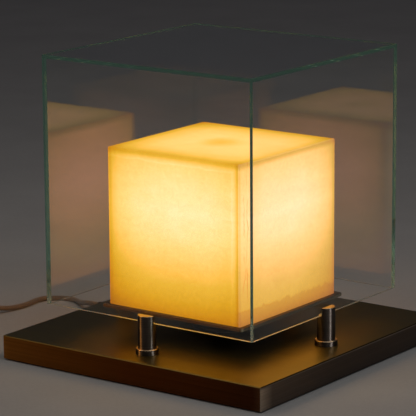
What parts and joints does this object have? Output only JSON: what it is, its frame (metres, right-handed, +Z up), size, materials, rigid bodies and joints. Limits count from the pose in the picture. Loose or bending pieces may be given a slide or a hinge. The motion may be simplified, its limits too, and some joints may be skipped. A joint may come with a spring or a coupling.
{
  "type": "table lamp",
  "caption": "Table lamp: hollow glowing stone cube on a tray, under a lift-off clear glass case standing on notched posts on a square bronze base, with a switched mains cord.",
  "frame": {"origin": "middle of the base's footprint on the surface the rubber feet stand on", "axes": "+Z up, -Y the front, +X the right; the mains cord leaves the left side"},
  "size_m": [0.5503, 0.3182, 0.3054],
  "materials": {
    "satin_bronze": "brushed, bronze plated",
    "post_bronze": "turned and polished, gunmetal bronze",
    "clear_glass": "polished edges, faint green",
    "alabaster": "honed, translucent, veined",
    "clear_silicone": "clear",
    "black_steel": "powder coated",
    "zinc_steel": "zinc plated",
    "black_rubber": "matt",
    "stem_steel": "blackened",
    "heat_sink": "extruded",
    "light_board": "white board with light chips",
    "cap_plastic": "moulded",
    "driver_case": "moulded",
    "lead_sheath": "smooth",
    "cord_braid": "fine braid, taupe",
    "fitting_plastic": "moulded, brown",
    "rocker_plastic": "moulded, dark brown",
    "nickel_pins": "nickel plated"
  },
  "bodies": {
    "lamp_base": {"base_shell": "satin_bronze", "tray": "satin_bronze", "post_front": "post_bronze", "post_right": "post_bronze", "post_back": "post_bronze", "post_left": "post_bronze", "foot_ring_front": "post_bronze", "foot_ring_right": "post_bronze", "foot_ring_back": "post_bronze", "foot_ring_left": "post_bronze", "seat_pads": "clear_silicone", "stone_pads": "clear_silicone", "base_cover": "black_steel", "cover_screws": "zinc_steel", "post_screws": "zinc_steel", "stem_screws": "zinc_steel", "tray_screws": "zinc_steel", "column_screws": "zinc_steel", "clamp_screws": "zinc_steel", "switch_screws": "zinc_steel", "rubber_feet": "black_rubber", "tray_stem": "stem_steel", "light_column": "heat_sink", "light_strip_front": "light_board", "light_strip_right": "light_board", "light_strip_back": "light_board", "light_strip_left": "light_board", "light_cap": "cap_plastic", "driver": "driver_case", "cord_clamp": "driver_case", "terminal_block": "driver_case", "lead_mains": "lead_sheath", "lead_driver": "lead_sheath", "lead_lamp": "lead_sheath", "cord_lead": "cord_braid", "cord_link": "cord_braid", "cord_coil": "cord_braid", "cord_tail": "cord_braid", "strain_relief": "fitting_plastic", "switch_base": "fitting_plastic", "switch_cover": "fitting_plastic", "plug_body": "fitting_plastic", "plug_pins": "nickel_pins"},
    "glass_case": {"case_front": "clear_glass", "case_right": "clear_glass", "case_back": "clear_glass", "case_left": "clear_glass", "case_top": "clear_glass"},
    "stone_cube": {"stone_front": "alabaster", "stone_right": "alabaster", "stone_back": "alabaster", "stone_left": "alabaster", "stone_top": "alabaster"},
    "rocker": {"switch_rocker": "rocker_plastic"}
  },
  "joints": [
    {"name": "case_lift", "type": "slide", "parent": "lamp_base", "child": "glass_case", "axis": [0, 0, 1], "range_m": [0, 0.3]},
    {"name": "stone_lift", "type": "slide", "parent": "lamp_base", "child": "stone_cube", "axis": [0, 0, 1], "range_m": [0, 0.08]},
    {"name": "switch_rock", "type": "hinge", "parent": "lamp_base", "child": "rocker", "pos_m": [-0.277, -0.078, 0.0122], "axis": [1, 0, 0], "range_deg": [-14, 0]}
  ]
}
